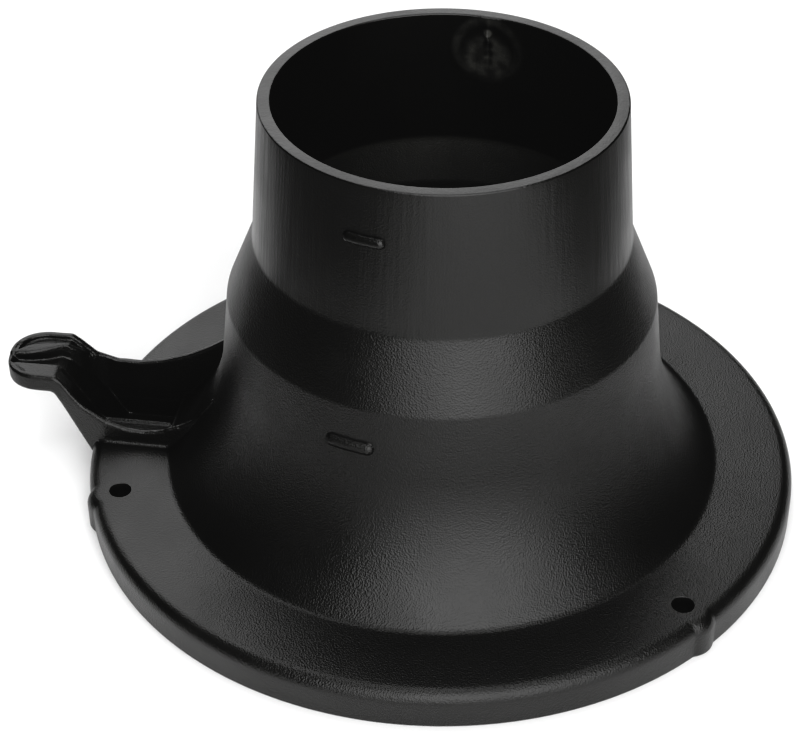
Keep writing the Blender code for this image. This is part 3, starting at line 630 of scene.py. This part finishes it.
def make_shell():
    """Every piece that stands for the hopper's moulding."""
    body = make_body()
    cut(body, pocket_cutter())
    for i, azimuth in enumerate(HOLE_AZIMUTHS):
        outline = [(0.001, -2), (HOLE_R, -2), (HOLE_R, FLANGE_Z - HOLE_CHAMFER),
                   (HOLE_R + HOLE_CHAMFER, FLANGE_Z), (HOLE_R + HOLE_CHAMFER, 14), (0.001, 14)]
        cutter = turned(f"hole_cutter_{i}", outline)
        cut(body, outward(place(cutter, HOLE_CIRCLE_R, azimuth)))
    body.data.shade_smooth()
    body.data.set_sharp_from_angle(angle=math.radians(SMOOTH_ANGLE))
    return [body, make_trough(),
            make_dash("upper_dash", height=102.95, length=10.6, width=2.9, proud=1.15),
            make_dash("lower_dash", height=51.1, length=12.6, width=3.4, proud=1.25),
            *make_bosses()]


# ---- materials -----------------------------------------------------------------------------------
class Nodes:
    """Short names for building a node tree."""

    def __init__(self, name):
        self.material = bpy.data.materials.new(name)
        self.material.use_nodes = True
        self.tree = self.material.node_tree
        self.shader = self.tree.nodes["Principled BSDF"]
        coordinates = self.add("ShaderNodeTexCoord")
        self.place = coordinates.outputs["Object"]

    def add(self, kind, **settings):
        """A new node with its settings."""
        node = self.tree.nodes.new(kind)
        for key, value in settings.items():
            setattr(node, key, value)
        return node

    def link(self, source, node, name):
        self.tree.links.new(source, node.inputs[name])

    def stretched(self, scale):
        """Object coordinates, scaled on each axis."""
        mapping = self.add("ShaderNodeMapping")
        mapping.inputs["Scale"].default_value = scale
        self.link(self.place, mapping, "Vector")
        return mapping.outputs["Vector"]

    def noise(self, scale, detail, roughness=0.5, vector=None):
        node = self.add("ShaderNodeTexNoise")
        node.inputs["Scale"].default_value = scale
        node.inputs["Detail"].default_value = detail
        node.inputs["Roughness"].default_value = roughness
        self.link(vector or self.place, node, "Vector")
        return node.outputs["Fac"]

    def grains(self, scale):
        """Cell pattern, dark in each cell's middle."""
        node = self.add("ShaderNodeTexVoronoi")
        node.inputs["Scale"].default_value = scale
        self.link(self.place, node, "Vector")
        return node.outputs["Distance"]

    def between(self, value, low, high, out_low=0.0, out_high=1.0):
        """Smooth ramp from out_low at low to out_high at high."""
        node = self.add("ShaderNodeMapRange")
        node.interpolation_type = "SMOOTHSTEP"
        self.link(value, node, "Value")
        node.inputs["From Min"].default_value = low
        node.inputs["From Max"].default_value = high
        node.inputs["To Min"].default_value = out_low
        node.inputs["To Max"].default_value = out_high
        return node.outputs["Result"]

    def apart(self, point):
        """Distance from a point of the object."""
        node = self.add("ShaderNodeVectorMath", operation="DISTANCE")
        self.tree.links.new(self.place, node.inputs[0])
        node.inputs[1].default_value = point
        return node.outputs["Value"]

    def sums(self, operation, a, b):
        """One step of arithmetic; a and b are sockets or numbers."""
        node = self.add("ShaderNodeMath", operation=operation)
        for socket, value in zip(node.inputs, (a, b)):
            if isinstance(value, (int, float)):
                socket.default_value = value
            else:
                self.tree.links.new(value, socket)
        return node.outputs["Value"]

    def colours(self, factor, first, second):
        """Base colour between two colours."""
        node = self.add("ShaderNodeMix", data_type="RGBA")
        self.tree.links.new(factor, node.inputs[0])
        node.inputs[6].default_value = (*first, 1)
        node.inputs[7].default_value = (*second, 1)
        self.tree.links.new(node.outputs[2], self.shader.inputs["Base Color"])

    def over(self, factor, colour):
        """Lays another colour over the base colour."""
        node = self.add("ShaderNodeMix", data_type="RGBA")
        self.tree.links.new(factor, node.inputs[0])
        self.tree.links.new(self.shader.inputs["Base Color"].links[0].from_socket, node.inputs[6])
        node.inputs[7].default_value = (*colour, 1)
        self.tree.links.new(node.outputs[2], self.shader.inputs["Base Color"])

    def roughness(self, value):
        self.link(value, self.shader, "Roughness")

    def bump(self, height, strength, distance):
        """Relief, distance in metres."""
        node = self.add("ShaderNodeBump")
        node.inputs["Strength"].default_value = strength
        node.inputs["Distance"].default_value = distance
        self.link(height, node, "Height")
        self.link(node.outputs["Normal"], self.shader, "Normal")


# heights in metres where the finish changes: cone's foot, cone's top
CONE_START = (0.0610, 0.0620)
NECK_START = (0.0785, 0.0800)
# soft edge of the painted light on the cone's inside, in metres
CONE_INSIDE_BLUR = 0.0004
# scuffed ring at the gate mark, with painted highlight on its lower half (cut by a dark slit) and on the
# nub above, in metres
SCUFF_RING = (0.0062, 0.0078, 0.0085, 0.0100)
GATE_LOWER_HIGHLIGHT = (0.0045, 0.0080)
GATE_HIGHLIGHT_SLIT = (0.0009, 0.0022)
GATE_NUB_GLINT = (0.0008, 0.0016)
BLACK_DARK, BLACK_LIGHT = (0.0018, 0.0018, 0.0016), (0.0046, 0.0045, 0.0042)
# grey of the gate mark's scuff and of its painted highlight
GATE_SCUFF_AND_HIGHLIGHT_GREY = (0.040, 0.040, 0.038)
# paler grey painted on the cone's inside for the light it catches
CONE_INSIDE_LIGHT_GREY = (0.024, 0.024, 0.022)


def moulded_black():
    """Fine-grained black moulding: the neck is smoother, with faint upright streaks."""
    n = Nodes("moulded_black_plastic")
    split = n.add("ShaderNodeSeparateXYZ")
    n.link(n.place, split, "Vector")
    height = split.outputs["Z"]
    neck = n.between(height, *NECK_START)
    band = n.sums("MULTIPLY", n.between(height, *CONE_START), n.between(height, *reversed(NECK_START)))
    cloud = n.noise(38.0, 3.0)
    speck = n.noise(2600.0, 2.0)
    shade = n.sums("ADD", n.sums("MULTIPLY", cloud, 0.6), n.sums("MULTIPLY", speck, 0.4))
    # at the gate mark: a pale scuffed ring, plus painted highlight on a paler lower half with a dark
    # slit and on the tear of the nub above
    spot = n.apart(gate_place(0.0))
    ring = n.sums("MULTIPLY", n.between(spot, *SCUFF_RING[:2]),
                  n.between(spot, *reversed(SCUFF_RING[2:])))
    slit = n.sums("MINIMUM", n.sums("MINIMUM", n.apart(gate_place(-4.2)), n.apart(gate_place(-1.6))),
                  n.apart(gate_place(1.0)))
    lower = n.sums("MULTIPLY", n.between(n.apart(gate_place(-3.0)), *reversed(GATE_LOWER_HIGHLIGHT)),
                   n.between(slit, *GATE_HIGHLIGHT_SLIT))
    tear = n.between(n.apart(gate_place(GATE_NUB)), *reversed(GATE_NUB_GLINT))
    scuff_and_highlight = n.sums("MAXIMUM", n.sums("MULTIPLY", ring, 0.35), n.sums("MULTIPLY", lower, 0.65))
    scuff_and_highlight = n.sums("MAXIMUM", scuff_and_highlight, tear)
    scuff_and_highlight = n.sums("MULTIPLY", scuff_and_highlight, n.between(n.noise(260.0, 3.0), 0.3, 0.62, 0.35, 1.0))
    n.colours(shade, BLACK_DARK, BLACK_LIGHT)
    # lays the gate mark's scuff and painted highlight over the base colour
    n.over(scuff_and_highlight, GATE_SCUFF_AND_HIGHLIGHT_GREY)
    # painted light on the cone's inside, which is paler: nearer the axis than the middle of its wall
    squares = n.sums("ADD", n.sums("MULTIPLY", split.outputs["X"], split.outputs["X"]),
                     n.sums("MULTIPLY", split.outputs["Y"], split.outputs["Y"]))
    lean = (CONE_FOOT[0] - CONE_TOP[0]) / (CONE_TOP[1] - CONE_FOOT[1])
    middle = (CONE_TOP[0] - WALL / 2 + CONE_TOP[1] * lean) * MM
    depth = n.sums("ADD", n.sums("POWER", squares, 0.5), n.sums("MULTIPLY", height, lean))
    inside = n.between(depth, middle + CONE_INSIDE_BLUR, middle - CONE_INSIDE_BLUR)
    n.over(n.sums("MULTIPLY", band, inside), CONE_INSIDE_LIGHT_GREY)
    grain = n.sums("ADD", n.grains(2300.0), n.sums("MULTIPLY", n.noise(1500.0, 2.0), 0.5))
    streak = n.noise(420.0, 3.0, 0.6, n.stretched((1.0, 1.0, 0.03)))
    amount = n.sums("ADD", n.sums("MULTIPLY", neck, -0.62), n.sums("MULTIPLY", band, -0.12))
    amount = n.sums("ADD", amount, 1.0)
    relief = n.sums("ADD", n.sums("MULTIPLY", grain, amount),
                    n.sums("MULTIPLY", n.sums("MULTIPLY", streak, neck), 1.7))
    n.bump(relief, 0.8, 0.00010)
    rough = n.sums("ADD", n.between(n.noise(60.0, 4.0), 0.3, 0.7, -0.04, 0.04), 0.40)
    n.roughness(n.sums("ADD", rough, n.sums("MULTIPLY", neck, -0.05)))
    n.shader.inputs["Specular IOR Level"].default_value = 0.30
    return n.material


def brushed_metal(name, dark, light, rough, line_scale, stretch):
    """Metal with fine lines; the stretch makes them long on the axis with the small number."""
    n = Nodes(name)
    lines = n.noise(line_scale, 4.0, 0.6, n.stretched(stretch))
    stain = n.noise(45.0, 3.0)
    shade = n.sums("ADD", n.sums("MULTIPLY", lines, 0.5), n.sums("MULTIPLY", stain, 0.5))
    n.colours(shade, dark, light)
    n.roughness(n.between(lines, 0.25, 0.75, rough - 0.07, rough + 0.09))
    n.bump(lines, 0.3, 0.00002)
    n.shader.inputs["Metallic"].default_value = 1.0
    return n.material


def cast_metal():
    """Dull cast aluminium with small pits."""
    n = Nodes("cast_aluminium")
    pits = n.grains(900.0)
    skin = n.noise(300.0, 5.0, 0.6)
    n.colours(n.noise(60.0, 4.0), (0.30, 0.31, 0.32), (0.50, 0.51, 0.52))
    n.roughness(n.between(skin, 0.3, 0.7, 0.42, 0.62))
    n.bump(n.sums("ADD", skin, n.sums("MULTIPLY", pits, 0.6)), 0.5, 0.00012)
    n.shader.inputs["Metallic"].default_value = 1.0
    return n.material


def sintered_bronze():
    """Porous bearing bronze."""
    n = Nodes("sintered_bronze")
    pores = n.grains(2600.0)
    n.colours(n.noise(120.0, 4.0), (0.36, 0.21, 0.09), (0.58, 0.37, 0.17))
    n.roughness(n.between(pores, 0.1, 0.6, 0.5, 0.34))
    n.bump(pores, 0.4, 0.00004)
    n.shader.inputs["Metallic"].default_value = 1.0
    return n.material


def black_rubber():
    """Matt rubber with a slight bloom."""
    n = Nodes("black_rubber")
    bloom = n.noise(90.0, 4.0, 0.6)
    n.colours(bloom, (0.016, 0.016, 0.016), (0.034, 0.033, 0.032))
    n.roughness(n.between(bloom, 0.3, 0.7, 0.66, 0.82))
    n.bump(n.noise(1800.0, 3.0), 0.3, 0.00005)
    return n.material


# ---- assembly ------------------------------------------------------------------------------------
def dress(objects, material):
    """Gives the objects this one material."""
    for obj in objects:
        obj.data.materials.clear()
        obj.data.materials.append(material)


def main():
    """Swaps the shell and gives every other CAD node its finish."""
    shell = make_shell()
    dress(shell, moulded_black())
    for piece in shell:
        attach(piece, "hopper")
        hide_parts("hopper_shell")

    finishes = {
        "cast_aluminium": cast_metal(),
        "stainless": brushed_metal("stainless", (0.42, 0.42, 0.42), (0.62, 0.62, 0.61), 0.27, 700.0,
                                   (1.0, 1.0, 0.25)),
        "steel": brushed_metal("machined_steel", (0.30, 0.30, 0.31), (0.46, 0.46, 0.47), 0.34, 900.0,
                               (0.3, 0.3, 1.0)),
        "zinc_screw": brushed_metal("zinc_plated", (0.48, 0.47, 0.42), (0.68, 0.67, 0.63), 0.36, 500.0,
                                    (1.0, 1.0, 1.0)),
        "bronze": sintered_bronze(),
        "black_rubber": black_rubber(),
    }
    for part in frame["record"]["subparts"]:
        if part["material_slot"] in finishes:
            dress([frame["nodes"][part["node"]]], finishes[part["material_slot"]])


# ---- camera, floor and light ---------------------------------------------------------------------
SHEET_LEFT = (0.122, 0.180, 0.16)       # edge at y = 0, then its slope behind and in front of it
SHEET_RIGHT = (0.103, 0.115, -0.75)
SHEET_FADE = 0.05
SHEET_WHITE = (0.92, 0.92, 0.92)
FLOOR_GREY = (0.19, 0.19, 0.19)
FLOOR_HALF = 3.0
WORLD_STRENGTH = 0.05
CAMERA_TILT = 37.099                    # degrees down, then about its own axis
CAMERA_ROLL = 0.426
CAMERA_PLACE = (0, -0.43593, 0.36502)
CAMERA_LENS = 94.15
CAMERA_SHIFT = -0.052
# tone curve, from scene-linear level to shown level: deep shade is held a little darker
BLACK = 0.003
TOE = ((0.006, 0.0040), (0.013, 0.0062), (0.0212, 0.0108), (0.0319, 0.0230),
       (0.045, 0.041), (0.062, 0.062))


def area_light(name, place, target, size, power, size_y=None):
    """A square softbox, or one of two sizes, turned towards the target."""
    data = bpy.data.lights.new(name, "AREA")
    data.energy = power
    data.size = size
    if size_y:
        data.shape = "RECTANGLE"
        data.size_y = size_y
    light = bpy.data.objects.new(name, data)
    light.location = place
    light.rotation_euler = (Vector(target) - Vector(place)).to_track_quat("-Z", "Y").to_euler()
    bpy.context.scene.collection.objects.link(light)


def make_studio():
    """Floor, dim surroundings and three softboxes."""
    corners = [(x * FLOOR_HALF, y * FLOOR_HALF, 0) for x, y in ((-1, -1), (1, -1), (1, 1), (-1, 1))]
    mesh = bpy.data.meshes.new("floor")
    mesh.from_pydata(corners, [], [(0, 1, 2, 3)])
    floor = bpy.data.objects.new("floor", mesh)
    bpy.context.scene.collection.objects.link(floor)
    n = Nodes("pale_floor")
    split = n.add("ShaderNodeSeparateXYZ")
    n.link(n.place, split, "Vector")
    # a white sheet under the object on a light grey floor; each side is given as a bent line
    behind = n.sums("MAXIMUM", split.outputs["Y"], 0.0)
    before = n.sums("MINIMUM", split.outputs["Y"], 0.0)
    beyond = []
    for sign, (edge, rear_slope, front_slope) in ((-1.0, SHEET_LEFT), (1.0, SHEET_RIGHT)):
        bend = n.sums("ADD", n.sums("MULTIPLY", behind, rear_slope),
                      n.sums("MULTIPLY", before, front_slope))
        off = n.sums("SUBTRACT", n.sums("MULTIPLY", split.outputs["X"], sign), bend)
        beyond.append(n.sums("SUBTRACT", off, edge))
    paper = n.between(n.sums("MAXIMUM", *beyond), 0.0, SHEET_FADE, 1.0, 0.0)
    n.colours(paper, FLOOR_GREY, SHEET_WHITE)
    n.roughness(n.between(n.noise(5.0, 2.0), 0.3, 0.7, 0.78, 0.86))
    floor.data.materials.append(n.material)

    world = bpy.data.worlds.new("studio")
    world.use_nodes = True
    background = world.node_tree.nodes["Background"]
    background.inputs["Color"].default_value = (1.0, 1.0, 1.0, 1.0)
    background.inputs["Strength"].default_value = WORLD_STRENGTH
    bpy.context.scene.world = world

    area_light("softbox_above", (0.0, 0.15, 1.15), (0, 0.05, 0.0), 0.8, 6.0)
    area_light("softbox_front", (0.25, -1.2, 0.80), (0, 0, 0.05), 1.7, 42.0, 1.6)
    area_light("softbox_back", (-0.35, 1.25, 0.95), (0, 0, 0.05), 1.5, 15.5, 1.2)


def make_camera():
    """The photograph's camera and its grading."""
    tilt = math.radians(CAMERA_TILT)
    roll = math.radians(CAMERA_ROLL)
    right = Vector((1, 0, 0))
    up = Vector((0, math.sin(tilt), math.cos(tilt)))
    forward = Vector((0, math.cos(tilt), -math.sin(tilt)))
    x = right * math.cos(roll) + up * math.sin(roll)
    y = up * math.cos(roll) - right * math.sin(roll)
    data = bpy.data.cameras.new("camera")
    data.sensor_width = 36.0
    data.lens = CAMERA_LENS
    data.shift_x = CAMERA_SHIFT
    camera = bpy.data.objects.new("camera", data)
    matrix = Matrix((x, y, -forward)).transposed().to_4x4()
    matrix.translation = Vector(CAMERA_PLACE)
    camera.matrix_world = matrix
    bpy.context.scene.collection.objects.link(camera)
    bpy.context.scene.camera = camera
    view = bpy.context.scene.view_settings
    view.view_transform = "Standard"
    view.use_curve_mapping = True
    curve = view.curve_mapping.curves[3]
    curve.points[0].location = (0.0, BLACK)
    for level, shown in TOE:
        curve.points.new(level, shown)
    for point in curve.points:
        point.handle_type = "VECTOR"
    view.curve_mapping.update()


main()
make_studio()
make_camera()
